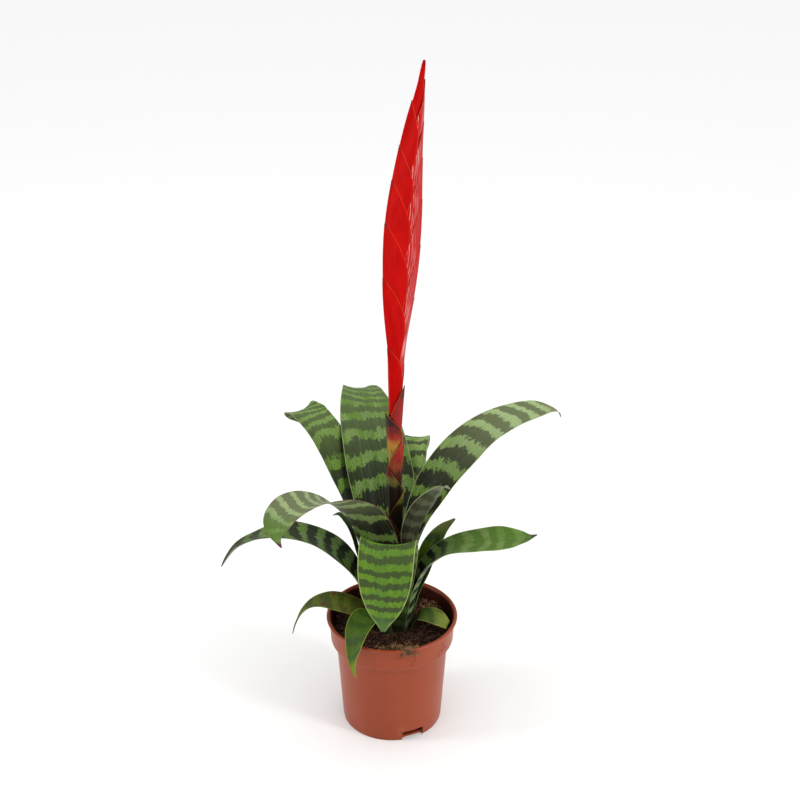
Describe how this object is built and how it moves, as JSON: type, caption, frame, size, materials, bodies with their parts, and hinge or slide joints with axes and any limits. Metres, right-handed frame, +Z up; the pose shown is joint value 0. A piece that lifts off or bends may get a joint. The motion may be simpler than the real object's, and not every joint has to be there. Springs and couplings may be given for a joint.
{
  "type": "potted flaming sword bromeliad",
  "caption": "Flaming sword bromeliad with a rosette of banded green leaves and a flat red flower spike on a sheathed stem, planted in a round terracotta-coloured plastic nursery pot.",
  "frame": {"origin": "centre of the pot's underside, on the surface it stands on", "axes": "+Z up along the pot's axis towards the flower spike, -Y the front that faces the picture's camera, +X to the right of the picture"},
  "size_m": [0.3078, 0.2499, 0.611],
  "materials": {
    "terracotta_plastic": "satin",
    "potting_soil": "matte",
    "stem_red": "satin",
    "leaf_green": "satin",
    "scape_bract_red": "satin",
    "floral_bract_red": "satin"
  },
  "bodies": {
    "root": {"pot": "terracotta_plastic", "soil": "potting_soil", "flower_stem": "stem_red", "leaf_01": "leaf_green", "leaf_02": "leaf_green", "leaf_03": "leaf_green", "leaf_04": "leaf_green", "leaf_05": "leaf_green", "leaf_06": "leaf_green", "leaf_07": "leaf_green", "leaf_08": "leaf_green", "leaf_09": "leaf_green", "leaf_10": "leaf_green", "leaf_11": "leaf_green", "leaf_12": "leaf_green", "leaf_13": "leaf_green", "leaf_14": "leaf_green", "leaf_15": "leaf_green", "leaf_16": "leaf_green", "leaf_17": "leaf_green", "scape_bract_1": "scape_bract_red", "scape_bract_2": "scape_bract_red", "scape_bract_3": "scape_bract_red", "scape_bract_4": "scape_bract_red", "scape_bract_5": "scape_bract_red", "scape_bract_6": "scape_bract_red", "scape_bract_7": "scape_bract_red", "floral_bract_01": "floral_bract_red", "floral_bract_02": "floral_bract_red", "floral_bract_03": "floral_bract_red", "floral_bract_04": "floral_bract_red", "floral_bract_05": "floral_bract_red", "floral_bract_06": "floral_bract_red", "floral_bract_07": "floral_bract_red", "floral_bract_08": "floral_bract_red", "floral_bract_09": "floral_bract_red", "floral_bract_10": "floral_bract_red", "floral_bract_11": "floral_bract_red", "floral_bract_12": "floral_bract_red", "floral_bract_13": "floral_bract_red", "spike_tip_bud": "floral_bract_red"}
  },
  "joints": []
}
